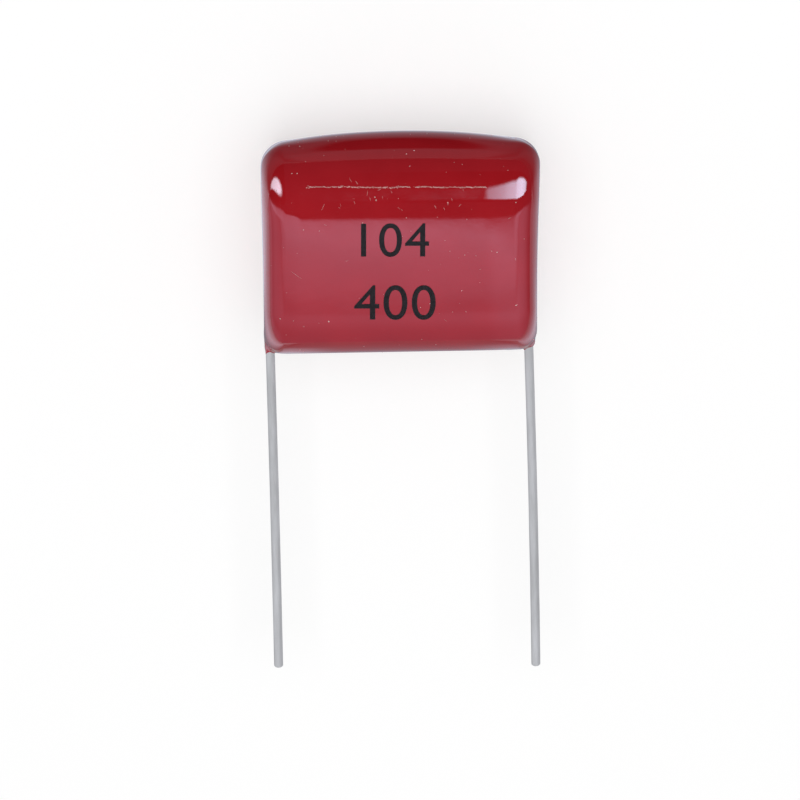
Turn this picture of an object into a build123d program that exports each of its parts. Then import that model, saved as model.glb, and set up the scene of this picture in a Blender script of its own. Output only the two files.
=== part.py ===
from build123d import *
import os

# Polyester film capacitor with a dipped epoxy coat and two straight wire leads, in millimetres.
# It lies on its flat back: +Z is up through its thickness, X runs along the wound roll, and
# +Y points to the closed top. The origin is on the flat back, midway between the leads and halfway
# up the coat.
os.makedirs("parts", exist_ok=True)

# Wire leads
lead_pitch = 22.5
lead_diameter = 0.8
lead_free_length = 30.4
lead_tip_round = 0.2

# Foot of each lead: the wire's end, pressed oval and welded into the metal spray
foot_thickness = 0.58
foot_width = 1.1
foot_reach = 10.5
foot_end_chamfer = 0.12
weld_depth = 0.12

# Roll of metallised film, flattened after winding, its blank outer turns and its metal ends
roll_thickness = 9.0
roll_height = 17.0
wrap_thickness = 0.15
spray_thickness = 0.5
spray_edge_round = 0.35

# Epoxy coat: walls round the roll, the sag to the top, the flare of its two ends, which the dip
# leaves a little unlike, and their rims
face_wall = 0.75
bottom_wall = 1.15
shoulder_wall = 0.8
crown_rise = 0.85
side_cover = 0.1
left_flare = 0.2
right_flare = 0.75
rim_radius = 2.0

# Collar of epoxy that fills each lower corner and creeps a little way down the wire
collar_drop = 0.25
collar_lip = 0.09
collar_flare_height = 0.45
collar_flare_radius = 0.95
collar_shoulder_height = 1.3
collar_shoulder_radius = 1.55
collar_height = 2.8
collar_radius = 1.95
collar_sink = 0.08

# Overall sizes of the wound element and of the coat
element_thickness = roll_thickness + 2 * wrap_thickness
element_height = roll_height + 2 * wrap_thickness
coat_thickness = element_thickness + 2 * face_wall
coat_height = bottom_wall + element_height + shoulder_wall + crown_rise
round_radius = coat_thickness / 2
flat_half_height = coat_height / 2 - round_radius

# Heights along Y, from the centre of the flat back
coat_bottom_y = -coat_height / 2
coat_top_y = coat_height / 2
element_bottom_y = coat_bottom_y + bottom_wall
element_mid_y = element_bottom_y + element_height / 2
collar_tip_y = coat_bottom_y - collar_drop
lead_tip_y = collar_tip_y - lead_free_length

# Places along X, from the leads inwards and outwards
lead_x = lead_pitch / 2
spray_outer_x = lead_x - foot_thickness / 2 + weld_depth
roll_half_length = spray_outer_x - spray_thickness
base_half_width = lead_x + lead_diameter / 2 + side_cover
blank_half_width = base_half_width + 2 * max(left_flare, right_flare) + rim_radius

# The crown is an arc that rises by crown_rise from the roll's ends to the middle
crown_radius = (roll_half_length**2 + crown_rise**2) / (2 * crown_rise)
core_radius = crown_radius - round_radius
crown_centre_y = coat_top_y - crown_radius

element_plane = Plane(origin=(0, element_mid_y, round_radius), x_dir=(0, 1, 0), z_dir=(1, 0, 0))


def level(y):
    """A plane across the leads at this height, with its own axes along X and Z."""
    return Plane(origin=(0, y, round_radius), x_dir=(1, 0, 0), z_dir=(0, 1, 0))


def end_x(y, side):
    """How far the coat's left or right end stands from its middle at this height."""
    flare = left_flare if side < 0 else right_flare
    return side * (base_half_width + flare * (y - coat_bottom_y) / coat_height)


# The roll: many turns of metallised film, wound on a mandrel and pressed flat
with BuildPart() as film_winding:
    with BuildSketch(element_plane):
        SlotOverall(roll_height, roll_thickness)
    extrude(amount=roll_half_length, both=True)
film_winding.part.label = "film_winding"
export_step(film_winding.part, "parts/film_winding.step")

# The last turns, of blank film, which hold the roll closed
with BuildPart() as cover_wrap:
    with BuildSketch(element_plane):
        SlotOverall(element_height, element_thickness)
        SlotOverall(roll_height, roll_thickness, mode=Mode.SUBTRACT)
    extrude(amount=roll_half_length, both=True)
cover_wrap.part.label = "cover_wrap"
export_step(cover_wrap.part, "parts/cover_wrap.step")

# Leads: a round wire with a rounded cut tip, then the stretch in the coat that turns oval, and
# the oval foot along the roll's end
leads = {}
for name, side in (("lead_left", -1), ("lead_right", 1)):
    with BuildPart() as lead:
        with BuildSketch(level(lead_tip_y)):
            with Locations((side * lead_x, 0)):
                Circle(lead_diameter / 2)
        extrude(amount=lead_free_length)
        fillet(lead.edges().sort_by(Axis.Y)[0], radius=lead_tip_round)
        with BuildSketch(level(collar_tip_y)):
            with Locations((side * lead_x, 0)):
                Circle(lead_diameter / 2)
        with BuildSketch(level(element_bottom_y)):
            with Locations((side * lead_x, 0)):
                Ellipse(foot_thickness / 2, foot_width / 2)
        loft()
        with BuildSketch(level(element_bottom_y)):
            with Locations((side * lead_x, 0)):
                Ellipse(foot_thickness / 2, foot_width / 2)
        extrude(amount=foot_reach)
        chamfer(lead.edges().sort_by(Axis.Y)[-1], length=foot_end_chamfer)
    lead.part.label = name
    export_step(lead.part, f"parts/{name}.step")
    leads[name] = lead.part

# Metal sprayed on the roll's ends, with a groove where the lead's foot is welded in
sprays = {}
for name, side in (("end_spray_left", -1), ("end_spray_right", 1)):
    with BuildPart() as spray:
        with BuildSketch(element_plane.offset(side * roll_half_length)):
            SlotOverall(element_height, element_thickness)
        extrude(amount=side * spray_thickness)
        outer_face = spray.faces().sort_by(Axis.X)[0 if side < 0 else -1]
        fillet(outer_face.edges(), radius=spray_edge_round)
        add(leads[name.replace("end_spray", "lead")], mode=Mode.SUBTRACT)
    spray.part.label = name
    export_step(spray.part, f"parts/{name}.step")
    sprays[name] = spray.part

# The coat: dipped and cured with its leads up, so that it sags to the closed top
with BuildPart() as epoxy_coating:
    # Flat faces, up to the line that the crown follows
    core_end_y = crown_centre_y + (core_radius**2 - blank_half_width**2) ** 0.5
    with BuildSketch(Plane.XY):
        with BuildLine():
            Polyline(
                (blank_half_width, core_end_y),
                (blank_half_width, -flat_half_height),
                (-blank_half_width, -flat_half_height),
                (-blank_half_width, core_end_y),
            )
            ThreePointArc(
                (-blank_half_width, core_end_y),
                (0, flat_half_height),
                (blank_half_width, core_end_y),
            )
        make_face()
    extrude(amount=coat_thickness)

    # Round bottom, straight along the roll
    with BuildSketch(Plane.YZ.offset(-blank_half_width)):
        with Locations((-flat_half_height, round_radius)):
            Circle(round_radius)
    extrude(amount=2 * blank_half_width)

    # Round top, bent along the crown
    start = Vector(blank_half_width, core_end_y - crown_centre_y, 0).normalized()
    with BuildSketch(
        Plane(
            origin=(0, crown_centre_y, 0),
            x_dir=start,
            z_dir=start.cross(Vector(0, 0, 1)),
        )
    ):
        with Locations((core_radius, round_radius)):
            Circle(round_radius)
    revolve(
        axis=Axis((0, crown_centre_y, 0), (0, 0, 1)),
        revolution_arc=2 * start.get_angle(Vector(0, 1, 0)),
    )

    # Ends that flare a little towards the top, with their rims rounded all the way round
    low_y = coat_bottom_y - rim_radius
    high_y = coat_top_y + rim_radius
    with BuildSketch(Plane.XY.offset(-rim_radius)):
        Polygon(
            (end_x(low_y, -1), low_y),
            (end_x(low_y, 1), low_y),
            (end_x(high_y, 1), high_y),
            (end_x(high_y, -1), high_y),
            align=None,
        )
    extrude(amount=coat_thickness + 2 * rim_radius, mode=Mode.INTERSECT)
    ends = epoxy_coating.faces().sort_by(Axis.X)
    fillet(ends[0].edges() + ends[-1].edges(), radius=rim_radius)

    # Collars that swell from the wires into the lower corners, flush with the ends
    tip_x = lead_x + lead_diameter / 2 + collar_lip
    for side in (-1, 1):
        top_x = side * end_x(collar_tip_y + collar_height, side) - collar_sink
        for height, radius in (
            (0, lead_diameter / 2 + collar_lip),
            (collar_flare_height, collar_flare_radius),
            (collar_shoulder_height, collar_shoulder_radius),
            (collar_height, collar_radius),
        ):
            outer_x = tip_x + (top_x - tip_x) * height / collar_height
            with BuildSketch(level(collar_tip_y + height)):
                with Locations((side * (outer_x - radius), 0)):
                    Circle(radius)
        loft()

    # The room that the element and its leads take up
    add(film_winding.part, mode=Mode.SUBTRACT)
    add(cover_wrap.part, mode=Mode.SUBTRACT)
    add([*sprays.values(), *leads.values()], mode=Mode.SUBTRACT)
epoxy_coating.part.label = "epoxy_coating"
export_step(epoxy_coating.part, "parts/epoxy_coating.step")
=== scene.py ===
import math
import random

import bmesh
import bpy
import numpy as np
from mathutils import Matrix, Vector


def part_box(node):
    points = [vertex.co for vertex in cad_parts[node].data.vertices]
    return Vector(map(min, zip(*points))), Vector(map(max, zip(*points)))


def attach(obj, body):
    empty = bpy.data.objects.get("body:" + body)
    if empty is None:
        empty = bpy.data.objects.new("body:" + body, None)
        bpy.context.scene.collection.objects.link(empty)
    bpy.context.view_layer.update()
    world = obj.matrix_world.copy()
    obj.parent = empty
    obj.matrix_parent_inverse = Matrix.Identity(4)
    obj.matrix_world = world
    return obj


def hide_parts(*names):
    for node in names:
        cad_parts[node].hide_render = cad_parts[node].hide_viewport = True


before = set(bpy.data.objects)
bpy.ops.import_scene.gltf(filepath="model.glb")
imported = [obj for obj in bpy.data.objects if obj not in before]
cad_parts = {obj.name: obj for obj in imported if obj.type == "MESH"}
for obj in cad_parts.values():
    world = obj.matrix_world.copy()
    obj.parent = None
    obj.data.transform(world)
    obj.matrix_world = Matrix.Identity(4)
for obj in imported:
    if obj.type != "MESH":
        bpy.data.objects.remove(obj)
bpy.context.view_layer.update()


# Epoxy coat. The wound roll is dipped in liquid epoxy with its wires up, then cured. The skin
# follows the flat roll, sags to a low crown at the closed end and creeps a little way down each
# wire. It is one glossy deep red skin, with faint waves in it.
mm = 0.001
coat_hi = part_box("epoxy_coating")[1]
wire_lo, wire_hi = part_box("lead_right")
coat_thickness = coat_hi.z / mm
coat_top = coat_hi.y / mm
coat_bottom = -coat_top
coat_height = coat_top - coat_bottom
mid_z = coat_thickness / 2
round_radius = coat_thickness / 2
flat_half_height = coat_top - round_radius
wire_x = (wire_lo.x + wire_hi.x) / 2 / mm
wire_radius = 0.4
end_base = {-1: 11.77, 1: 12.01}
end_flare = {-1: 0.045, 1: 0.64}
end_waist = {-1: 0.065, 1: 0.205}
rim_low = 1.65
rim_high = 2.1
rim_growth = 1.6
fall_start = {-1: 8.4, 1: 7.6}
fall_rate = {-1: 0.024, 1: 0.018}
crown_middle = 0.08
crown_sag = 0.0065
crown_turn_down = 1.4e-5
crown_front_span = 1.407
crown_back_span = 0.593
face_crown = 0.05
front_ramp = 1.2
lobe_radius = 1.6
lobe_reach = 11.22
lobe_tip_radius = 0.42
lobe_tip_shift = {-1: -0.02, 1: 0.04}
lobe_tip_drop = 0.15
lobe_blend = 0.7
lip_radius = 0.42
lip_top = 1.9
lip_widening = 1.3
lip_blend = 0.4
lip_arch = 0.5
lip_arch_span = 1.7
lip_drop = {-1: 0.62, 1: 0.42}
lip_slant = {-1: -0.22, 1: 0.78}
wave_count = 14
wave_height = 0.0005
wave_lengths = (2.5, 7.0)


def blend_union(a, b, width):
    """The nearer of two skins, run together over this width as wet epoxy does."""
    overlap = np.clip(width - np.abs(a - b), 0, None) / width
    return np.minimum(a, b) - overlap**2 * width / 4


def round_corner(a, b, radius):
    """The inside of both skins, with their common edge rounded."""
    corner = np.hypot(np.clip(a + radius, 0, None), np.clip(b + radius, 0, None))
    return corner + np.clip(np.maximum(a, b) + radius, None, 0) - radius


def tapered_rod(p, start, end, start_radius, end_radius):
    """Distance from a rod with round ends that widens from its start to its end."""
    along = end - start
    length2 = along @ along
    step = start_radius - end_radius
    slant2 = length2 - step**2
    from_start = p - start
    y = from_start @ along
    z = y - length2
    x2 = ((from_start * length2 - y[:, None] * along) ** 2).sum(axis=1)
    y2 = y**2 * length2
    z2 = z**2 * length2
    limit = np.sign(step) * step**2 * x2
    side = (np.sqrt(x2 * slant2 / length2) + y * step) / length2 - start_radius
    far_end = np.sqrt(x2 + z2) / length2 - end_radius
    near_end = np.sqrt(x2 + y2) / length2 - start_radius
    return np.where(
        np.sign(z) * slant2 * z2 > limit,
        far_end,
        np.where(np.sign(y) * slant2 * y2 < limit, near_end, side),
    )


def coat_distance(p, blend):
    """Distance of each point from the coat's skin, in millimetres, negative inside."""
    x, y, z = p[:, 0], p[:, 1], p[:, 2]
    off_middle = x - crown_middle
    sag = crown_sag * off_middle**2 + crown_turn_down * off_middle**4
    above = y - flat_half_height
    below = -flat_half_height - y
    beyond = np.clip(np.maximum(above, below), 0, None)

    # The front face domes a little and falls towards both ends
    fall = sum(
        fall_rate[side] * np.clip(side * x - fall_start[side], 0, None) ** 2 for side in (-1, 1)
    )
    dome = face_crown * (y / flat_half_height) ** 2
    front = np.clip((z - mid_z) / front_ramp, 0, 1)
    crowned_z = np.abs(z - mid_z) + (dome + fall) * front**2 * (3 - 2 * front)
    reach = np.hypot(beyond, crowned_z)

    # The crown grows round the top: none at the front face, most just past the top edge
    facing = np.where(z > mid_z, crowned_z, -crowned_z) / np.clip(reach, 1e-6, None)
    front_share = np.clip((1 - facing) / crown_front_span, 0, 1)
    back_share = np.clip((1 + facing) / crown_back_span, 0, 1)
    share = front_share**3 * (4 - 3 * front_share) * back_share**2 * (3 - 2 * back_share)
    skin = reach - round_radius + sag * share * (y > 0)

    # The ends, each with its own flare and waist, and their rims
    rise = (y - coat_bottom) / coat_height
    rim_radius = rim_low + (rim_high - rim_low) * np.clip(rim_growth * rise, 0, 1)
    for side in (-1, 1):
        waist = 4 * end_waist[side] * rise * (1 - rise)
        end_x = end_base[side] + end_flare[side] * rise - waist
        skin = round_corner(skin, side * x - end_x, rim_radius)

    # The lobes that fill the lower corners, and the arched lips on the wires
    for side in (-1, 1):
        lobe_y = coat_bottom - lobe_tip_drop + lobe_tip_radius
        tip = np.array([side * (wire_x + lobe_tip_shift[side]), lobe_y, mid_z])
        top = np.array([side * (lobe_reach - lobe_radius), coat_bottom + lobe_radius, mid_z])
        lobe = tapered_rod(p, tip, top, lobe_tip_radius, lobe_radius)
        skin = blend_union(skin, lobe, blend)
        arched = p.copy()
        off_wire = ((z - mid_z) / wire_radius) ** 2 / lip_arch_span
        arched[:, 1] -= lip_arch * lip_arch_span * np.tanh(off_wire)
        aside = np.clip(side * x - wire_x, -wire_radius, wire_radius)
        arched[:, 1] -= lip_slant[side] * aside
        low = np.array([side * wire_x, coat_bottom - lip_drop[side] + lip_radius, mid_z])
        high = np.array([side * (wire_x - lip_radius / 2), coat_bottom + lip_top, mid_z])
        lip = tapered_rod(arched, low, high, lip_radius, lip_widening * lip_radius)
        skin = blend_union(skin, lip, lip_blend * blend)
    return skin


def outward(p, blend):
    """The skin's outward direction at each point, from its distance a hair to each side."""
    hair = 1e-4
    slope = np.empty_like(p)
    for axis in range(3):
        step = np.zeros(3)
        step[axis] = hair
        slope[:, axis] = coat_distance(p + step, blend) - coat_distance(p - step, blend)
    slope /= 2 * hair
    return slope / np.linalg.norm(slope, axis=1, keepdims=True)


def settle(p, blend, rounds):
    """Moves each point straight onto the skin."""
    for _ in range(rounds):
        p = p - coat_distance(p, blend)[:, None] * outward(p, blend)
    return p


def grid_lines(stops, counts):
    """Lines from stop to stop, with this many steps in each stretch."""
    stretches = zip(stops, stops[1:], counts)
    lines = [np.linspace(a, b, n, endpoint=False) for a, b, n in stretches]
    return np.append(np.concatenate(lines), stops[-1])


def box_skin(xs, ys, zs):
    """Points and outward quads of a closed box with these grid lines."""
    lines = (xs, ys, zs)
    last = [len(line) - 1 for line in lines]
    number = {}
    points = []
    quads = []

    def corner(cell):
        if cell not in number:
            number[cell] = len(points)
            points.append([lines[axis][cell[axis]] for axis in range(3)])
        return number[cell]

    for axis in range(3):
        u, v = (axis + 1) % 3, (axis + 2) % 3
        for end in (0, last[axis]):
            turns = ((0, 0), (1, 0), (1, 1), (0, 1))
            if not end:
                turns = ((0, 0), (0, 1), (1, 1), (1, 0))
            for i in range(last[u]):
                for j in range(last[v]):
                    quad = []
                    for a, b in turns:
                        cell = [0, 0, 0]
                        cell[axis], cell[u], cell[v] = end, i + a, j + b
                        quad.append(corner(tuple(cell)))
                    quads.append(quad)
    return np.array(points, dtype=float), quads


def mesh_piece(name, points, edges, faces):
    """A smooth mesh object at the origin, from points in millimetres."""
    mesh = bpy.data.meshes.new(name)
    mesh.from_pydata((np.asarray(points) * mm).tolist(), edges, faces)
    mesh.validate()
    mesh.shade_smooth()
    piece = bpy.data.objects.new(name, mesh)
    bpy.context.scene.collection.objects.link(piece)
    return piece


# A box around the coat, with closer lines near its rims, corners and wires, settles onto the
# skin, first with wide blends and then with the real ones
half = coat_hi.x / mm
lowest = coat_bottom - max(lip_drop.values())
rim_x = 9.4
rim_y = 8.4
wire_zone = 1.1
xs = grid_lines([-half, -rim_x, rim_x, half], [36, 76, 36])
ys = grid_lines([lowest, -rim_y, rim_y, coat_top], [30, 66, 10])
zs = grid_lines([0, mid_z - wire_zone, mid_z + wire_zone, 2 * mid_z], [17, 28, 17])
points, quads = box_skin(xs, ys, zs)
points = settle(points, 3 * lobe_blend, 8)
points = settle(points, lobe_blend, 8)

# Waves, all inwards
chance = random.Random(11)
height = np.zeros(len(points))
for _ in range(wave_count):
    direction = np.array([chance.gauss(0, 1) for _ in range(3)])
    direction /= np.linalg.norm(direction)
    length = chance.uniform(*wave_lengths)
    phase = chance.uniform(0, 2 * math.pi)
    wave = np.sin(points @ direction * 2 * math.pi / length + phase)
    height += wave * length / wave_lengths[1]
height *= wave_height
points = points + outward(points, lobe_blend) * (height - np.abs(height).max())[:, None]
points[:, 2] = np.clip(points[:, 2], 0, None)
coat = mesh_piece("coat", points, [], quads)


def new_material(name):
    """A node material with its shader and output alone: itself, its tree and the shader."""
    material = bpy.data.materials.new(name)
    material.use_nodes = True
    tree = material.node_tree
    tree.nodes.clear()
    output = tree.nodes.new("ShaderNodeOutputMaterial")
    shader = tree.nodes.new("ShaderNodeBsdfPrincipled")
    tree.links.new(shader.outputs["BSDF"], output.inputs["Surface"])
    return material, tree, shader


def noise(tree, scale, detail=2.0, stretch=(1, 1, 1)):
    """Noise over the piece's own coordinates, with this many lumps a metre."""
    place = tree.nodes.new("ShaderNodeTexCoord")
    mapping = tree.nodes.new("ShaderNodeMapping")
    mapping.inputs["Scale"].default_value = stretch
    texture = tree.nodes.new("ShaderNodeTexNoise")
    texture.inputs["Scale"].default_value = scale
    texture.inputs["Detail"].default_value = detail
    tree.links.new(place.outputs["Object"], mapping.inputs["Vector"])
    tree.links.new(mapping.outputs["Vector"], texture.inputs["Vector"])
    return texture.outputs["Fac"]


def spread(tree, value, low, high, to_low, to_high):
    """The value, mapped from one range to another and held inside it."""
    node = tree.nodes.new("ShaderNodeMapRange")
    node.inputs["From Min"].default_value = low
    node.inputs["From Max"].default_value = high
    node.inputs["To Min"].default_value = to_low
    node.inputs["To Max"].default_value = to_high
    tree.links.new(value, node.inputs["Value"])
    return node.outputs["Result"]


def paint(tree, shader, value, first, second):
    """Sets the shader's colour between two, by a noise value."""
    node = tree.nodes.new("ShaderNodeMix")
    node.data_type = "RGBA"
    node.inputs["A"].default_value = (*first, 1)
    node.inputs["B"].default_value = (*second, 1)
    tree.links.new(spread(tree, value, 0.3, 0.7, 0, 1), node.inputs["Factor"])
    tree.links.new(node.outputs["Result"], shader.inputs["Base Color"])


def add_bump(tree, shader, height, depth):
    """Bump on the shader from a height of 0 to 1, this deep in metres."""
    node = tree.nodes.new("ShaderNodeBump")
    node.inputs["Strength"].default_value = 1.0
    node.inputs["Distance"].default_value = depth
    tree.links.new(height, node.inputs["Height"])
    tree.links.new(node.outputs["Normal"], shader.inputs["Normal"])


epoxy, tree, shader = new_material("red_epoxy")
shader.inputs["IOR"].default_value = 1.57
paint(tree, shader, noise(tree, 260, 3), (0.35, 0.0084, 0.0134), (0.39, 0.0104, 0.0162))
gloss = spread(tree, noise(tree, 700, 4), 0.35, 0.75, 0.04, 0.075)
tree.links.new(gloss, shader.inputs["Roughness"])
add_bump(tree, shader, noise(tree, 1500, 2), 1e-6)
coat.data.materials.append(epoxy)
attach(coat, "root")
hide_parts("epoxy_coating")


# Printed value. Two rows of plain numbers, stamped on the front in dark grey ink that stands a
# hair proud of the coat and follows its dome.
ink_rise = 0.03
ink_root = 0.03
ink_tilt = math.radians(-1.0)
ink_facet = 0.12
digit_spacing = 1.04


def front_z(x, y):
    """Height of the coat's front skin over each place on its plan."""
    low = np.full(len(x), mid_z)
    high = np.full(len(x), coat_thickness + 0.1)
    for _ in range(24):
        z = (low + high) / 2
        inside = coat_distance(np.column_stack([x, y, z]), lobe_blend) < 0
        low = np.where(inside, z, low)
        high = np.where(inside, high, z)
    return (low + high) / 2


def printed_row(name, digits, cap_height, centre_x, centre_y):
    """One row of digits, this tall, wrapped onto the front."""
    letters = bpy.data.curves.new(name, "FONT")
    letters.body = digits
    letters.size = 1.0
    letters.space_character = digit_spacing
    letters.extrude = 0.01
    letters.resolution_u = 8
    holder = bpy.data.objects.new(name + "_letters", letters)
    bpy.context.scene.collection.objects.link(holder)
    bpy.context.view_layer.update()
    evaluated = holder.evaluated_get(bpy.context.evaluated_depsgraph_get())
    mesh = bpy.data.meshes.new_from_object(evaluated)
    bpy.data.objects.remove(holder)
    mesh.name = name
    shape = bmesh.new()
    shape.from_mesh(mesh)
    bmesh.ops.remove_doubles(shape, verts=shape.verts, dist=1e-5)
    for _ in range(3):
        long_edges = [edge for edge in shape.edges if edge.calc_length() > ink_facet]
        bmesh.ops.subdivide_edges(shape, edges=long_edges, cuts=1)
        bmesh.ops.triangulate(shape, faces=shape.faces)
    flat = np.array([vertex.co for vertex in shape.verts])
    size = flat.max(axis=0) - flat.min(axis=0)
    middle = (flat.max(axis=0) + flat.min(axis=0)) / 2
    u = (flat[:, 0] - middle[0]) * cap_height / size[1]
    v = (flat[:, 1] - middle[1]) * cap_height / size[1]
    x = centre_x + u * math.cos(ink_tilt) - v * math.sin(ink_tilt)
    y = centre_y + u * math.sin(ink_tilt) + v * math.cos(ink_tilt)
    z = front_z(x, y) + np.where(flat[:, 2] > 0, ink_rise, -ink_root)
    for vertex, place in zip(shape.verts, np.column_stack([x, y, z]) * mm):
        vertex.co = place
    bmesh.ops.recalc_face_normals(shape, faces=shape.faces)
    shape.to_mesh(mesh)
    shape.free()
    mesh.materials.clear()
    mesh.materials.append(ink)
    row = bpy.data.objects.new(name, mesh)
    bpy.context.scene.collection.objects.link(row)
    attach(row, "root")


ink, tree, shader = new_material("marking_ink")
shader.inputs["Specular IOR Level"].default_value = 0.12
paint(tree, shader, noise(tree, 3000, 3), (0.009, 0.009, 0.0092), (0.017, 0.0165, 0.017))
dryness = spread(tree, noise(tree, 4000, 2), 0.3, 0.7, 0.4, 0.6)
tree.links.new(dryness, shader.inputs["Roughness"])
printed_row("number_upper", "104", cap_height=3.15, centre_x=-0.22, centre_y=2.53)
printed_row("number_lower", "400", cap_height=3.3, centre_x=-0.32, centre_y=-3.39)


# Dust and scuffs. Specks of dust that settled on the wet coat, a thin line of pale grains along
# its upper shoulder that shows bright there, and the hair-fine scuffs and fibres that handling
# leaves on the gloss.
grain_size = (0.025, 0.06)
settled_grains = 260
fibre_radius = (0.008, 0.014)
fibre_joints = 9
pale_line_y = 7.2
pale_line_tilt = -0.0145
pale_line_ends = (-7.8, 7.8)
pale_line_step = 0.05
pale_line_gap = (1.15, 1.45)
pale_line_size = (0.024, 0.056)


def named(tree, label, kind):
    """A value that the mesh carries on its points under this name."""
    node = tree.nodes.new("GeometryNodeInputNamedAttribute")
    node.data_type = kind
    node.inputs["Name"].default_value = label
    return node.outputs["Attribute"]


def give(mesh, label, kind, values):
    """Puts values on the mesh's points under this name."""
    field = mesh.attributes.new(label, kind, "POINT")
    key = "value" if kind == "FLOAT" else "vector"
    field.data.foreach_set(key, np.asarray(values, dtype=float).ravel())


def nodes_tree(name, **sizes):
    """A Geometry Nodes tree with named sizes, its inputs, and each size by its identifier."""
    tree = bpy.data.node_groups.new(name, "GeometryNodeTree")
    sockets = tree.interface
    sockets.new_socket("Geometry", in_out="OUTPUT", socket_type="NodeSocketGeometry")
    sockets.new_socket("Geometry", in_out="INPUT", socket_type="NodeSocketGeometry")
    keys = {}
    for label in sizes:
        title = label.replace("_", " ").title()
        socket = sockets.new_socket(title, in_out="INPUT", socket_type="NodeSocketFloat")
        keys[socket.identifier] = sizes[label]
    given = tree.nodes.new("NodeGroupInput").outputs
    return tree, given, keys


def finish_tree(tree, geometry, material):
    """Ends a tree: one smooth mesh in this material."""
    smooth = tree.nodes.new("GeometryNodeSetShadeSmooth")
    realize = tree.nodes.new("GeometryNodeRealizeInstances")
    coloured = tree.nodes.new("GeometryNodeSetMaterial")
    coloured.inputs["Material"].default_value = material
    made = tree.nodes.new("NodeGroupOutput")
    tree.links.new(geometry, realize.inputs["Geometry"])
    tree.links.new(realize.outputs["Geometry"], smooth.inputs["Geometry"])
    tree.links.new(smooth.outputs["Geometry"], coloured.inputs["Geometry"])
    tree.links.new(coloured.outputs["Geometry"], made.inputs["Geometry"])


def grown(holder, tree, keys, name):
    """Runs the tree on the holder and keeps its result as a plain mesh object."""
    modifier = holder.modifiers.new(tree.name, "NODES")
    modifier.node_group = tree
    for identifier, value in keys.items():
        modifier[identifier] = value
    bpy.context.view_layer.update()
    evaluated = holder.evaluated_get(bpy.context.evaluated_depsgraph_get())
    mesh = bpy.data.meshes.new_from_object(evaluated)
    mesh.name = name
    bpy.data.objects.remove(holder)
    piece = bpy.data.objects.new(name, mesh)
    bpy.context.scene.collection.objects.link(piece)
    return piece


def grains(name, places, radii, chance):
    """Flattened grains on the skin at these places, turned to lie on it."""
    normals = outward(places, lobe_blend)
    turns = []
    for normal in normals:
        lying = Vector(normal).to_track_quat("Z", "Y").to_matrix()
        spun = lying @ Matrix.Rotation(chance.uniform(0, 2 * math.pi), 3, "Z")
        turns.append(spun.to_euler())
    sizes = [(r * chance.uniform(0.7, 1.5), r, r * 0.5) for r in radii]
    holder = mesh_piece(name + "_places", places, [], [])
    give(holder.data, "turn", "FLOAT_VECTOR", turns)
    give(holder.data, "size", "FLOAT_VECTOR", sizes)
    tree, given, keys = nodes_tree(name, grain_radius=mm)
    ball = tree.nodes.new("GeometryNodeMeshIcoSphere")
    ball.inputs["Subdivisions"].default_value = 1
    tree.links.new(given["Grain Radius"], ball.inputs["Radius"])
    planted = tree.nodes.new("GeometryNodeInstanceOnPoints")
    tree.links.new(given["Geometry"], planted.inputs["Points"])
    tree.links.new(ball.outputs["Mesh"], planted.inputs["Instance"])
    tree.links.new(named(tree, "turn", "FLOAT_VECTOR"), planted.inputs["Rotation"])
    tree.links.new(named(tree, "size", "FLOAT_VECTOR"), planted.inputs["Scale"])
    finish_tree(tree, planted.outputs["Instances"], lint)
    piece = grown(holder, tree, keys, name)
    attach(piece, "root")


lint, tree, shader = new_material("pale_dust")
shader.inputs["Roughness"].default_value = 0.8
paint(tree, shader, noise(tree, 900, 2), (0.52, 0.27, 0.26), (0.78, 0.56, 0.54))
add_bump(tree, shader, noise(tree, 20000, 2), 4e-6)

chance = random.Random(5)
around = np.array([[chance.gauss(0, 1) for _ in range(3)] for _ in range(settled_grains)])
around /= np.linalg.norm(around, axis=1, keepdims=True)
scattered = settle(np.array([0, 0, mid_z]) + around * [13, 11.5, 7], lobe_blend, 12)
scattered = scattered[scattered[:, 2] > 0.4]
radii = [chance.uniform(*grain_size) * chance.random() ** 0.5 for _ in scattered]
# The larger specks on the front: place and radius
large_specks = np.array(
    [
        (-10.3, -4.8, 0.085), (-6.1, -5.1, 0.07), (10.2, -3.9, 0.085), (8.6, 1.2, 0.06),
        (5.8, 1.0, 0.06), (8.3, 9.95, 0.06), (10.4, 9.6, 0.06), (10.3, 5.75, 0.065),
        (-9.05, 8.3, 0.06), (-8.6, 8.3, 0.055), (-1.8, 6.2, 0.09), (-1.9, 6.45, 0.06),
        (-3.0, 4.2, 0.05), (4.4, 5.9, 0.055), (0.8, 4.6, 0.05), (-10.4, 7.0, 0.04),
    ]
)
large_z = front_z(large_specks[:, 0], large_specks[:, 1])
specks = np.vstack([scattered, np.column_stack([large_specks[:, :2], large_z])])
grains("dust_specks", specks, radii + list(large_specks[:, 2]), chance)

# A thin line of pale grains along the upper shoulder, with a gap in it, that shows as a bright
# line
pale_line_x = np.arange(*pale_line_ends, pale_line_step)
keep = [not pale_line_gap[0] < x < pale_line_gap[1] and chance.random() > 0.12 for x in pale_line_x]
pale_line_x = pale_line_x[keep]
wander = 0.025 * np.sin(pale_line_x * 0.9) + 0.012 * np.sin(pale_line_x * 2.7 + 1)
scatter = np.array([chance.gauss(0, 0.026) for _ in pale_line_x])
line_y = pale_line_y + pale_line_tilt * pale_line_x + wander + scatter
radii = [chance.uniform(*pale_line_size) for _ in pale_line_x]
line = np.column_stack([pale_line_x, line_y, front_z(pale_line_x, line_y)])
grains("pale_line", line, radii, chance)


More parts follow.
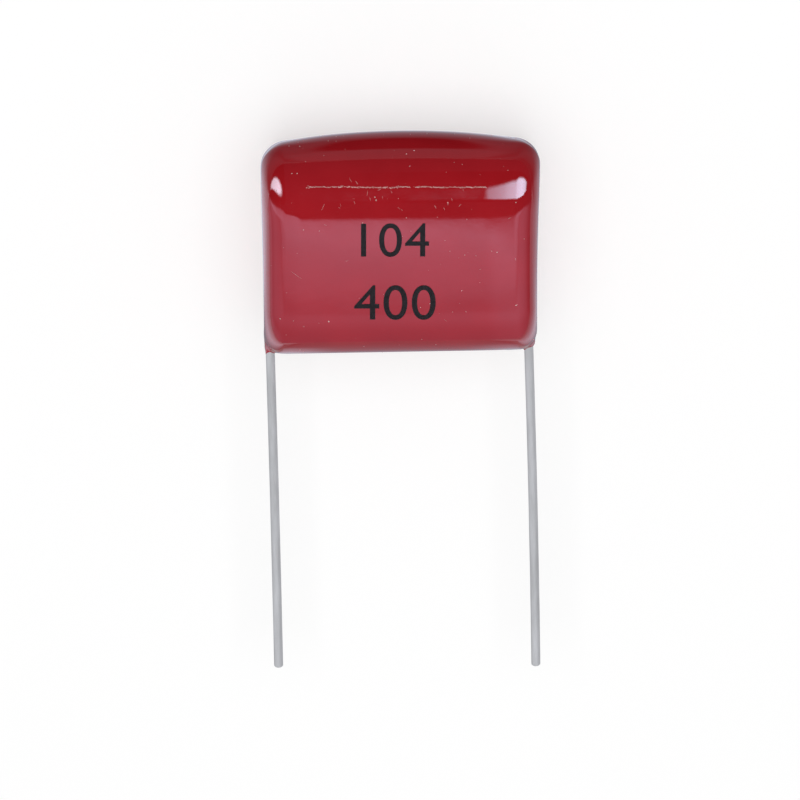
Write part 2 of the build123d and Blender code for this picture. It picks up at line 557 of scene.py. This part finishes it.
def fibres(name, lines, chance):
    """Hair-thin tapered threads that follow the skin, made by a Geometry Nodes sweep."""
    points = []
    edges = []
    thickness = []
    for x, y, length, turn, bend in lines:
        share = np.linspace(-0.5, 0.5, fibre_joints)
        angle = turn + bend * share
        u = x + np.cumsum(np.cos(angle)) * length / fibre_joints
        v = y + np.cumsum(np.sin(angle)) * length / fibre_joints
        first = len(points)
        radius = chance.uniform(*fibre_radius)
        points.extend(np.column_stack([u, v, front_z(u, v) + 0.3 * radius]))
        edges.extend((first + i, first + i + 1) for i in range(fibre_joints - 1))
        thickness.extend(radius * (1 - 0.8 * np.abs(2 * share) ** 3))
    holder = mesh_piece(name + "_lines", np.array(points), edges, [])
    give(holder.data, "thickness", "FLOAT", thickness)
    tree, given, keys = nodes_tree(name, thread_radius=mm)
    path = tree.nodes.new("GeometryNodeMeshToCurve")
    tree.links.new(given["Geometry"], path.inputs["Mesh"])
    outline = tree.nodes.new("GeometryNodeCurvePrimitiveCircle")
    outline.inputs["Resolution"].default_value = 6
    tree.links.new(given["Thread Radius"], outline.inputs["Radius"])
    sweep = tree.nodes.new("GeometryNodeCurveToMesh")
    sweep.inputs["Fill Caps"].default_value = True
    tree.links.new(path.outputs["Curve"], sweep.inputs["Curve"])
    tree.links.new(outline.outputs["Curve"], sweep.inputs["Profile Curve"])
    tree.links.new(named(tree, "thickness", "FLOAT"), sweep.inputs["Scale"])
    finish_tree(tree, sweep.outputs["Mesh"], lint)
    piece = grown(holder, tree, keys, name)
    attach(piece, "root")


# Each thread's middle, length, direction and bend: the plainest ones, then a scatter on the
# shoulder, where the gloss shows them, and a few on the face
threads = [
    (-9.4, -0.15, 1.3, math.radians(-38), 0.1),
    (-6.6, 5.35, 0.75, math.radians(62), 0.15),
    (-4.1, 8.0, 0.45, math.radians(-60), 0.3),
    (-3.6, 7.75, 0.4, math.radians(-50), -0.3),
    (-2.6, 6.5, 0.5, math.radians(80), 0.2),
]
for _ in range(16):
    x = chance.uniform(-6.0, 6.5)
    y = chance.uniform(5.2, 7.0)
    length = chance.uniform(0.12, 0.4)
    threads.append((x, y, length, chance.uniform(0, math.pi), chance.uniform(-0.7, 0.7)))
for _ in range(9):
    x = chance.uniform(-10.5, 10.5)
    y = chance.uniform(-7.5, 4.5)
    length = chance.uniform(0.1, 0.4)
    threads.append((x, y, length, chance.uniform(0, math.pi), chance.uniform(-1.0, 1.0)))
fibres("scuffs", threads, chance)


# Wire leads. Tinned copper wire, 0.8 mm thick and cut to length, with blunt domed tips. Faint
# draw lines and a slight bow show on it. Its hidden end is pressed oval and welded to the
# sprayed metal on the roll's end.
tip_y = wire_lo.y / mm
foot_y = wire_hi.y / mm
foot_top_z = wire_hi.z / mm
foot_start_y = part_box("end_spray_right")[0].y / mm
foot_thickness = 0.58
foot_width = 2 * (foot_top_z - mid_z)
collar_y = coat_bottom - 0.1
tip_dome = 0.22
rings = 520
sides = 40
draw_lines = (2600, 240, 2600)
draw_depth = 0.02


def calc(tree, operation, *terms):
    """A sum of this kind on numbers or sockets."""
    node = tree.nodes.new("ShaderNodeMath")
    node.operation = operation
    for socket, term in zip(node.inputs, terms):
        if isinstance(term, (int, float)):
            socket.default_value = term
        else:
            tree.links.new(term, socket)
    return node.outputs[0]


def vector_of(tree, *parts):
    """A vector from three numbers or sockets."""
    node = tree.nodes.new("ShaderNodeCombineXYZ")
    for socket, part in zip(node.inputs, parts):
        if isinstance(part, (int, float)):
            socket.default_value = part
        else:
            tree.links.new(part, socket)
    return node.outputs[0]


def moved(tree, geometry, offset):
    """The geometry with each point moved by its offset."""
    node = tree.nodes.new("GeometryNodeSetPosition")
    tree.links.new(geometry, node.inputs["Geometry"])
    tree.links.new(offset, node.inputs["Offset"])
    return node.outputs["Geometry"]


def swept_wire(name, node, x, lean, bow, tip, seed):
    """A lead along its own slightly bent line, made by a Geometry Nodes sweep."""
    tree, given, keys = nodes_tree(
        name,
        wire_radius=wire_radius * mm,
        top=foot_y * mm,
        foot_start=foot_start_y * mm,
        foot_flatten=foot_thickness / (2 * wire_radius) - 1,
        foot_widen=foot_width / (2 * wire_radius) - 1,
        coat_edge=collar_y * mm,
        tip=tip * mm,
        tip_dome=tip_dome * mm,
        lean=lean * mm,
        bow=bow * mm,
        place_x=x * mm,
        place_z=mid_z * mm,
    )
    line = tree.nodes.new("GeometryNodeCurvePrimitiveLine")
    top = vector_of(tree, given["Place X"], given["Top"], given["Place Z"])
    bottom = vector_of(tree, given["Place X"], given["Tip"], given["Place Z"])
    tree.links.new(top, line.inputs["Start"])
    tree.links.new(bottom, line.inputs["End"])
    resample = tree.nodes.new("GeometryNodeResampleCurve")
    resample.inputs["Count"].default_value = rings
    tree.links.new(line.outputs["Curve"], resample.inputs["Curve"])
    position = tree.nodes.new("GeometryNodeInputPosition").outputs["Position"]
    split = tree.nodes.new("ShaderNodeSeparateXYZ")
    tree.links.new(position, split.inputs[0])
    from_tip = calc(tree, "SUBTRACT", split.outputs["Y"], given["Tip"])
    rise = calc(tree, "MINIMUM", calc(tree, "DIVIDE", from_tip, given["Tip Dome"]), 1.0)
    fall = calc(tree, "SUBTRACT", 1.0, rise)
    cap = calc(tree, "SUBTRACT", 1.0, calc(tree, "MULTIPLY", fall, fall))
    dome = calc(tree, "POWER", calc(tree, "MAXIMUM", cap, 0.0), 0.5)
    profile = tree.nodes.new("GeometryNodeCurvePrimitiveCircle")
    profile.inputs["Resolution"].default_value = sides
    tree.links.new(given["Wire Radius"], profile.inputs["Radius"])
    sweep = tree.nodes.new("GeometryNodeCurveToMesh")
    sweep.inputs["Fill Caps"].default_value = True
    tree.links.new(resample.outputs["Curve"], sweep.inputs["Curve"])
    tree.links.new(profile.outputs["Curve"], sweep.inputs["Profile Curve"])
    tree.links.new(calc(tree, "MAXIMUM", dome, 0.02), sweep.inputs["Scale"])

    # The foot: flattened across, widened along the roll's end
    above = calc(tree, "SUBTRACT", split.outputs["Y"], given["Coat Edge"])
    stretch = calc(tree, "SUBTRACT", given["Foot Start"], given["Coat Edge"])
    part = calc(tree, "DIVIDE", above, stretch)
    pressed = calc(tree, "MINIMUM", calc(tree, "MAXIMUM", part, 0.0), 1.0)
    off_x = calc(tree, "SUBTRACT", split.outputs["X"], given["Place X"])
    off_z = calc(tree, "SUBTRACT", split.outputs["Z"], given["Place Z"])
    flattened = calc(tree, "MULTIPLY", off_x, given["Foot Flatten"])
    widened = calc(tree, "MULTIPLY", off_z, given["Foot Widen"])
    push_x = calc(tree, "MULTIPLY", flattened, pressed)
    push_z = calc(tree, "MULTIPLY", widened, pressed)
    footed = moved(tree, sweep.outputs["Mesh"], vector_of(tree, push_x, 0.0, push_z))

    # Lean and bow of the free length
    drop = calc(tree, "SUBTRACT", given["Coat Edge"], split.outputs["Y"])
    free = calc(tree, "SUBTRACT", given["Coat Edge"], given["Tip"])
    share = calc(tree, "MAXIMUM", calc(tree, "DIVIDE", drop, free), 0.0)
    arch = calc(tree, "MULTIPLY", share, calc(tree, "SUBTRACT", 1.0, share))
    bowing = calc(tree, "MULTIPLY", calc(tree, "MULTIPLY", given["Bow"], 4.0), arch)
    leaning = calc(tree, "MULTIPLY", given["Lean"], share)
    bent = moved(tree, footed, vector_of(tree, calc(tree, "ADD", leaning, bowing), 0.0, 0.0))

    # Faint draw lines and dents, all inwards
    stretched = tree.nodes.new("ShaderNodeVectorMath")
    stretched.operation = "MULTIPLY_ADD"
    stretched.inputs[1].default_value = draw_lines
    stretched.inputs[2].default_value = (seed, seed, seed)
    tree.links.new(position, stretched.inputs[0])
    drawn = tree.nodes.new("ShaderNodeTexNoise")
    drawn.inputs["Scale"].default_value = 1.0
    drawn.inputs["Detail"].default_value = 3.0
    tree.links.new(stretched.outputs[0], drawn.inputs["Vector"])
    lowered = calc(tree, "SUBTRACT", drawn.outputs["Fac"], 0.7)
    depth = calc(tree, "MULTIPLY", lowered, draw_depth * mm)
    push = tree.nodes.new("ShaderNodeVectorMath")
    push.operation = "SCALE"
    normal = tree.nodes.new("GeometryNodeInputNormal").outputs["Normal"]
    tree.links.new(normal, push.inputs[0])
    tree.links.new(calc(tree, "MINIMUM", depth, 0.0), push.inputs["Scale"])
    finish_tree(tree, moved(tree, bent, push.outputs[0]), tin)
    holder = mesh_piece(name + "_line", [], [], [])
    wire = grown(holder, tree, keys, name)
    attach(wire, "root")
    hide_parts(node)


tin, tree, shader = new_material("tinned_wire")
shader.inputs["Metallic"].default_value = 0.9
streaks = noise(tree, 2200, 4, (1, 0.12, 1))
paint(tree, shader, streaks, (0.7, 0.7, 0.7), (0.88, 0.88, 0.89))
satin = spread(tree, noise(tree, 1600, 3), 0.3, 0.7, 0.32, 0.46)
tree.links.new(satin, shader.inputs["Roughness"])
add_bump(tree, shader, noise(tree, 5200, 3, (1, 0.3, 1)), 8e-6)
left_tip_y = tip_y + 0.29
swept_wire("wire_left", "lead_left", -wire_x, lean=0.2, bow=0.03, tip=left_tip_y, seed=2.0)
swept_wire("wire_right", "lead_right", wire_x, lean=0.2, bow=0.07, tip=tip_y, seed=4.0)


# Roll, wrap and end sprays. They lie inside the coat, out of sight: metallised film wound flat,
# its last blank turns, and zinc sprayed on both ends to join the film's edges to the wires.
film_turn = 0.15


def dress(node, material):
    """Gives a CAD node this material."""
    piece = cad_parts[node]
    if piece.material_slots:
        piece.material_slots[0].material = material
    else:
        piece.data.materials.append(material)


def turns_of_film(tree):
    """Rings along the wound turns, from the distance to the roll's flat middle."""
    roll_lo, roll_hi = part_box("film_winding")
    middle_y = (roll_lo.y + roll_hi.y) / 2
    straight = (roll_hi.y - roll_lo.y) / 2 - (roll_hi.z - roll_lo.z) / 2
    place = tree.nodes.new("ShaderNodeTexCoord")
    split = tree.nodes.new("ShaderNodeSeparateXYZ")
    tree.links.new(place.outputs["Object"], split.inputs[0])
    off = calc(tree, "ABSOLUTE", calc(tree, "SUBTRACT", split.outputs["Y"], middle_y))
    beyond = calc(tree, "MAXIMUM", calc(tree, "SUBTRACT", off, straight), 0.0)
    across = calc(tree, "SUBTRACT", split.outputs["Z"], mid_z * mm)
    beyond2 = calc(tree, "POWER", beyond, 2.0)
    across2 = calc(tree, "POWER", across, 2.0)
    reach = calc(tree, "SQRT", calc(tree, "ADD", beyond2, across2))
    return calc(tree, "FRACT", calc(tree, "DIVIDE", reach, film_turn * mm))


film, tree, shader = new_material("metallised_film")
shader.inputs["Metallic"].default_value = 0.85
paint(tree, shader, turns_of_film(tree), (0.5, 0.51, 0.53), (0.76, 0.77, 0.79))
satin = spread(tree, noise(tree, 500, 3), 0.3, 0.7, 0.25, 0.4)
tree.links.new(satin, shader.inputs["Roughness"])
dress("film_winding", film)

clear_film, tree, shader = new_material("blank_film")
paint(tree, shader, noise(tree, 180, 3), (0.72, 0.74, 0.71), (0.84, 0.86, 0.84))
satin = spread(tree, noise(tree, 500, 3), 0.3, 0.7, 0.16, 0.3)
tree.links.new(satin, shader.inputs["Roughness"])
dress("cover_wrap", clear_film)

zinc, tree, shader = new_material("sprayed_zinc")
shader.inputs["Metallic"].default_value = 0.8
paint(tree, shader, noise(tree, 5000, 4), (0.4, 0.4, 0.39), (0.68, 0.68, 0.66))
matt = spread(tree, noise(tree, 3000, 3), 0.3, 0.7, 0.6, 0.85)
tree.links.new(matt, shader.inputs["Roughness"])
add_bump(tree, shader, noise(tree, 6000, 4), 5e-5)
dress("end_spray_left", zinc)
dress("end_spray_right", zinc)


# Floor. A plain pale board that the capacitor lies on, painted matt. It shows a little brighter
# than the lamps make it, and it keeps the part's soft shadow.
floor_half = 6.0
floor_drop = 2e-5
floor_grey = (0.45, 0.45, 0.45, 1)
floor_lift = 0.6


def shown_ray(tree):
    """One for a ray from the camera, a reflection or clear glass, else nought."""
    path = tree.nodes.new("ShaderNodeLightPath")
    either = calc(tree, "MAXIMUM", path.outputs["Is Camera Ray"], path.outputs["Is Glossy Ray"])
    return calc(tree, "MAXIMUM", either, path.outputs["Is Transmission Ray"])


corners = [(-1, -1), (1, -1), (1, 1), (-1, 1)]
floor_mesh = bpy.data.meshes.new("floor")
floor_mesh.from_pydata(
    [(u * floor_half, v * floor_half, -floor_drop) for u, v in corners], [], [(0, 1, 2, 3)]
)
floor = bpy.data.objects.new("floor", floor_mesh)
bpy.context.scene.collection.objects.link(floor)
board, tree, shader = new_material("pale_board")
shader.inputs["Base Color"].default_value = floor_grey
shader.inputs["Roughness"].default_value = 0.9
shader.inputs["Specular IOR Level"].default_value = 0.1
shader.inputs["Emission Color"].default_value = (1, 1, 1, 1)
lift = calc(tree, "MULTIPLY", shown_ray(tree), floor_lift)
tree.links.new(lift, shader.inputs["Emission Strength"])
floor_mesh.materials.append(board)


# Light. Two soft lamps and a pale room light the body colours. As gloss alone, the coat and what
# lies on it show a tent that is dark overhead and bright beyond the wires, a lamp over each
# shoulder and the pale table. The wires show a plain sky and table of their own.
tent_radius = 2.0
tent_dark = 0.05
tent_tint = (1.45, 1.0, 1.36)
panel_shift = 0.13
panel_stops = {
    -90: 0.36, -84: 0.37, -76: 0.42, -68: 0.47, -58: 0.55, -46: 0.7, -37: 0.82, -29: 0.84,
    -26.9: 0.8, -26.35: 0.66, -26.15: 0.63, -25.9: 0.66, -25.65: 0.78, -25.15: 0.94,
    -24.65: 1.03, -24.15: 1.07, -23.65: 1.15, -23.15: 1.26, -22.75: 1.36, -22.4: 1.52,
    -22: 1.63, -20: 1.6, 0: 1.1, 20: 0.95, 90: 0.6,
}
side_stops = {
    -90: 1.1, -60: 1.05, -45: 0.9, -25: 0.95, -12: 0.85, -5: 0.9, 0: 1.0, 4: 1.2, 10: 1.3,
    20: 1.25, 32: 1.13, 58: 0.9, 68: 0.5, 90: 0.4,
}
rim_stops = {
    -1: -0.05, -0.8: -0.053, -0.57: -0.047, -0.26: -0.11, -0.1: -0.203, -0.064: -0.24,
    -0.033: -0.285, -0.012: -0.345, 0: -0.357, 0.02: -0.365, 0.17: -0.37, 0.33: -0.336,
    0.61: -0.28, 0.82: -0.235, 1: -0.24,
}
rim_softness = {0.05: 0.012, 0.3: 0.05}


def follow(stops, value):
    """A level that runs straight from stop to stop."""
    return np.interp(value, list(stops), list(stops.values()))


def ease(low, high, value):
    """From 0 at the low end to 1 at the high one, softly."""
    share = np.clip((value - low) / (high - low), 0, 1)
    return share**2 * (3 - 2 * share)


def towards(side, along):
    """Directions at these degrees to the side, and from the zenith towards the closed end."""
    s, a = np.radians(side), np.radians(along)
    return np.stack([np.sin(s), np.cos(s) * np.sin(a), np.cos(s) * np.cos(a)], axis=-1)


def glowing_sheet(name, places, level, colour, clear=False):
    """A sheet through a grid of places in metres that only reflections show."""
    rows, columns = places.shape[:2]
    faces = []
    for i in range(rows - 1):
        for j in range(columns - 1):
            first = i * columns + j
            faces.append((first, first + 1, first + columns + 1, first + columns))
    mesh = bpy.data.meshes.new(name)
    mesh.from_pydata(places.reshape(-1, 3).tolist(), [], faces)
    glow = np.ones((rows * columns, 4))
    glow[:, :3] = level.reshape(-1, 1) * np.array(colour)
    field = mesh.attributes.new("glow", "FLOAT_COLOR", "POINT")
    field.data.foreach_set("color", glow.ravel())
    material = bpy.data.materials.new(name)
    material.use_nodes = True
    material.cycles.emission_sampling = "NONE"
    tree = material.node_tree
    tree.nodes.clear()
    output = tree.nodes.new("ShaderNodeOutputMaterial")
    emission = tree.nodes.new("ShaderNodeEmission")
    carried = tree.nodes.new("ShaderNodeAttribute")
    carried.attribute_name = "glow"
    tree.links.new(carried.outputs["Color"], emission.inputs["Color"])
    if clear:
        both = tree.nodes.new("ShaderNodeAddShader")
        tree.links.new(emission.outputs[0], both.inputs[0])
        tree.links.new(tree.nodes.new("ShaderNodeBsdfTransparent").outputs[0], both.inputs[1])
        tree.links.new(both.outputs[0], output.inputs["Surface"])
    else:
        tree.links.new(emission.outputs[0], output.inputs["Surface"])
    mesh.materials.append(material)
    sheet = bpy.data.objects.new(name, mesh)
    bpy.context.scene.collection.objects.link(sheet)
    sheet.visible_camera = False
    sheet.visible_diffuse = False
    sheet.visible_shadow = False
    sheet.visible_transmission = False
    sheet.visible_volume_scatter = False
    return sheet


def sky_sheet(name, sides, alongs, level, colour, clear=False):
    """A glowing sheet of sky, its level a function of the two angles."""
    side, along = np.meshgrid(sides, alongs, indexing="ij")
    places = towards(side, along) * tent_radius + np.array([0, 0, mid_z * mm])
    return glowing_sheet(name, places, level(side, along), colour, clear)


def tent_level(side, along):
    """How bright the tent is in this direction."""
    x = np.sin(np.radians(side))
    y = np.cos(np.radians(side)) * np.sin(np.radians(along))
    bright = follow(panel_stops, along - panel_shift) * follow(side_stops, side)
    bright = bright * (1 + 1.2 * np.clip(-x, 0, 1) * ease(-60, -85, along))
    rim = follow(rim_stops, x)
    soft = follow(rim_softness, np.abs(x))
    return tent_dark + (bright - tent_dark) * ease(rim + soft, rim - soft, y)


def steps(*stretches):
    """Angles or places from stretches of start, end and step."""
    return np.concatenate([np.arange(*stretch) for stretch in stretches])


def taken_by(name, pieces):
    """A collection of the pieces that show a sheet."""
    takers = bpy.data.collections.new(name)
    for piece in pieces:
        takers.objects.link(bpy.data.objects[piece])
    return takers


coat_pieces = ("coat", "number_upper", "number_lower", "dust_specks", "pale_line", "scuffs")
gloss_takers = taken_by("gloss_takers", coat_pieces)
wire_takers = taken_by("wire_takers", ("wire_left", "wire_right"))

tent_sides = steps((-90, -16, 2.0), (-16, 16, 0.5), (16, 91, 2.0))
tent_alongs = steps((-90, -30, 2.0), (-30, -17, 0.2), (-17, 30, 1.0), (30, 91, 4.0))
tent = sky_sheet("tent", tent_sides, tent_alongs, tent_level, tent_tint)
tent.light_linking.receiver_collection = gloss_takers

# The lamp over each shoulder, just inside the tent
lamp_share = 0.98
left_lamp_middle = (-51, 51)
left_lamp_lean = (0.74, 0.67)
left_lamp_halves = (38, 17)
left_lamp_tint = (0.95, 1, 1.18)
right_lamp_stops = {0.5: 0, 1.6: 3.4, 6: 5, 9: 7.5, 16: 11, 40: 12.5, 56: 10, 64: 0}
right_lamp_top = {0.5: 28, 2: 32.5, 4: 34.5, 6.5: 38, 9: 43, 23: 49, 47: 51, 59: 46}
right_lamp_foot = {0: 12.2, 5: 10.8, 17: 9.2, 48: 11, 62: 21}
right_lamp_tint = (0.82, 1, 1.28)


def left_lamp_level(side, along):
    """An oval that leans, brightest low down."""
    du, dv = side - left_lamp_middle[0], along - left_lamp_middle[1]
    cosine, sine = left_lamp_lean
    major = (cosine * du - sine * dv) / left_lamp_halves[0]
    minor = (sine * du + cosine * dv) / left_lamp_halves[1]
    reach = np.hypot(major, minor)
    return 11 * ease(1.12, 0.62, reach) * (1 + 0.35 * major)


def right_lamp_level(side, along):
    """A broad lamp whose inner edge thins to a tail."""
    level = follow(right_lamp_stops, side)
    top = follow(right_lamp_top, side)
    foot = follow(right_lamp_foot, side)
    return level * ease(foot - 1.5, foot + 1.5, along) * ease(top + 4, top - 5, along)


left_sides, left_alongs = steps((-86, -6, 1.0)), steps((6, 91, 1.5))
right_sides, right_alongs = steps((0, 67, 0.5)), steps((6, 64, 1.0))
for lamp in (
    sky_sheet("left_lamp", left_sides, left_alongs, left_lamp_level, left_lamp_tint),
    sky_sheet("right_lamp", right_sides, right_alongs, right_lamp_level, right_lamp_tint),
):
    lamp.scale = (lamp_share, lamp_share, lamp_share)
    lamp.light_linking.receiver_collection = gloss_takers

# The table as the coat's gloss shows it, with its light and the part's shadow painted into the
# glow: its front, the part's shadow painted as a dark blunt spot beyond the top, painted shade
# below the lower corners where the wires are, and the glow at each end, high up and low down
table_height = 0.1
table_tint = (0.92, 1, 1.17)
# Its level along the middle; the fall from 11 to 27 mm beyond the top is the part's painted
# shadow
front_stops = {
    -60: 0.42, -12: 0.45, 3: 0.75, 8.6: 0.75, 11: 0.4, 14: 0.17, 16: 0.2, 27: 0.24, 30: 0.31,
}
# The part's painted shadow: a dark blunt spot beyond the top
shadow_spot_middle = (0.4, 20.8)
shadow_spot_halves = (8.2, 6.6)
shadow_spot_power = 2.6
left_high_y = {4: 2.1, 8: 1.2, 12: 0.5, 16: 0.25}
left_high_x = {-60: 0.8, -30: 1, -20: 0.95, -15: 0.55}
# Low down at the left end; the dip near the wire, from 14 to 12 mm, is painted shade under the
# corner
left_low_x = {
    -140: 1, -65: 1.4, -31: 1.65, -24: 1.75, -20: 1.35, -18: 0.95, -16: 0.62, -14: 0.3,
    -12: 0.2,
}
right_high_y = {4: 1.0, 8: 0.5, 12: 0.25}
right_high_x = {15: 0.6, 20: 1, 30: 0.9, 60: 0.35}
# Low down at the right end; the dip near the wire, from 12 to 14 mm, is painted shade under the
# corner
right_low_x = {12: 0.25, 14: 0.42, 16: 0.88, 19: 1.35, 29: 1.1, 40: 0.9, 60: 0.75}
far_low_y = {-160: 0.7, -60: 1}


def table_level(x, y):
    """How bright the table is in reflections at this place in millimetres, with the part's
    shadow and the shade under its corners painted in.
    """
    across = np.abs((x - shadow_spot_middle[0]) / shadow_spot_halves[0]) ** shadow_spot_power
    beyond = np.abs((y - shadow_spot_middle[1]) / shadow_spot_halves[1]) ** shadow_spot_power
    shadow_spot = (across + beyond) ** (1 / shadow_spot_power)
    # The painted shadow spot darkens the middle
    middle = follow(front_stops, y) * ease(0.82, 1.12, shadow_spot)
    under = ease(-13, -17, y) * ease(-42, -27, y) * ease(5, 10, np.abs(x))
    middle = middle * (1 + np.where(x < 0, 1.1, 0.6) * under)
    low = ease(-5, -11, y)
    fade = low * follow(far_low_y, y)
    left = follow(left_high_y, y) * follow(left_high_x, x)
    left = left * (1 - low) + follow(left_low_x, x) * fade
    right = follow(right_high_y, y) * follow(right_high_x, x)
    right = right * (1 - low) + follow(right_low_x, x) * fade
    on_left, on_right = ease(-10, -13.5, x), ease(10, 13.5, x)
    return middle * (1 - on_left - on_right) + left * on_left + right * on_right


out = np.concatenate([np.arange(0, 36, 0.8), np.geomspace(36, 900, 26)])
ticks = np.concatenate([-out[:0:-1], out])
table_x, table_y = np.meshgrid(ticks, ticks, indexing="ij")
table_z = np.full_like(table_x, table_height)
table_places = np.stack([table_x, table_y, table_z], axis=-1) * mm
table = glowing_sheet("table_glow", table_places, table_level(table_x, table_y), table_tint)
table.light_linking.receiver_collection = gloss_takers

# The wires' own sky and table, clear so that the coat's gloss sees past them
wire_tint = (0.98, 1, 1.05)
wire_sky_share = 0.97
wire_sky_stops = {-90: 0.62, 20: 0.6, 50: 0.5, 90: 0.4}
wire_table_half = 0.9
wire_table_height = 0.15
wire_table_levels = (0.56, 0.5, 0.42)


def wire_sky_level(side, _along):
    """The pale room round the wires, a little darker towards the right at any height."""
    return follow(wire_sky_stops, side)


round_about = steps((-90, 91, 6.0))
wire_sky = sky_sheet(
    "wire_sky", round_about, round_about, wire_sky_level, wire_tint, clear=True
)
wire_sky.scale = (wire_sky_share, wire_sky_share, wire_sky_share)
wire_sky.light_linking.receiver_collection = wire_takers
wire_places = np.array(
    [
        [(u * wire_table_half, v * wire_table_half, wire_table_height * mm) for v in (-1, 1)]
        for u in (-1, 0, 1)
    ]
)
wire_levels = np.repeat(wire_table_levels, 2)
wire_table = glowing_sheet("wire_table", wire_places, wire_levels, wire_tint, clear=True)
wire_table.light_linking.receiver_collection = wire_takers


lamp_distance = 0.4
room_light = 0.46
room_seen = 0.96


def body_lamp(name, from_zenith, spread_angle, brightness):
    """A square soft lamp, this many degrees from straight up, for the body colours alone."""
    light = bpy.data.lights.new(name, "AREA")
    light.size = 2 * lamp_distance * math.tan(math.radians(spread_angle / 2))
    light.energy = brightness * math.pi * light.size**2
    lamp = bpy.data.objects.new(name, light)
    bpy.context.scene.collection.objects.link(lamp)
    tilt = math.radians(from_zenith)
    back = Vector((0, math.sin(tilt), math.cos(tilt)))
    place = Vector((0, 0, mid_z * mm)) + back * lamp_distance
    lamp.matrix_world = Matrix.Translation(place) @ Matrix.Rotation(-tilt, 4, "X")
    lamp.visible_camera = False
    lamp.visible_glossy = False


body_lamp("top_light", from_zenith=10, spread_angle=70, brightness=1.28)
body_lamp("front_light", from_zenith=-50, spread_angle=60, brightness=0.3)

world = bpy.data.worlds.new("room")
bpy.context.scene.world = world
world.use_nodes = True
tree = world.node_tree
tree.nodes.clear()
output = tree.nodes.new("ShaderNodeOutputWorld")
background = tree.nodes.new("ShaderNodeBackground")
level = spread(tree, shown_ray(tree), 0, 1, room_light, room_seen)
tree.links.new(level, background.inputs["Strength"])
tree.links.new(background.outputs["Background"], output.inputs["Surface"])


# Camera. It looks down on the front face from a little beyond the closed end, with a long lens
# that shows the part almost without perspective.
camera_lean = math.radians(24.0)
camera_roll = math.radians(1.0)
image_width = 800
mm_a_pixel = 0.0871
view_width = image_width * mm_a_pixel * mm
lens = 1200.0
sensor = 36.0
far_clip = 20
camera_distance = view_width * lens / sensor
camera_way = Vector((0, math.sin(camera_lean), math.cos(camera_lean)))
target = Vector((-0.03, -15.04, mid_z)) * mm
camera_data = bpy.data.cameras.new("camera")
camera_data.lens = lens
camera_data.sensor_width = sensor
camera_data.clip_end = far_clip
camera = bpy.data.objects.new("camera", camera_data)
bpy.context.scene.collection.objects.link(camera)
camera.matrix_world = (
    Matrix.Translation(target + camera_way * camera_distance)
    @ Matrix.Rotation(-camera_lean, 4, "X")
    @ Matrix.Rotation(-camera_roll, 4, "Z")
)
bpy.context.scene.camera = camera
bpy.context.scene.view_settings.view_transform = "Standard"
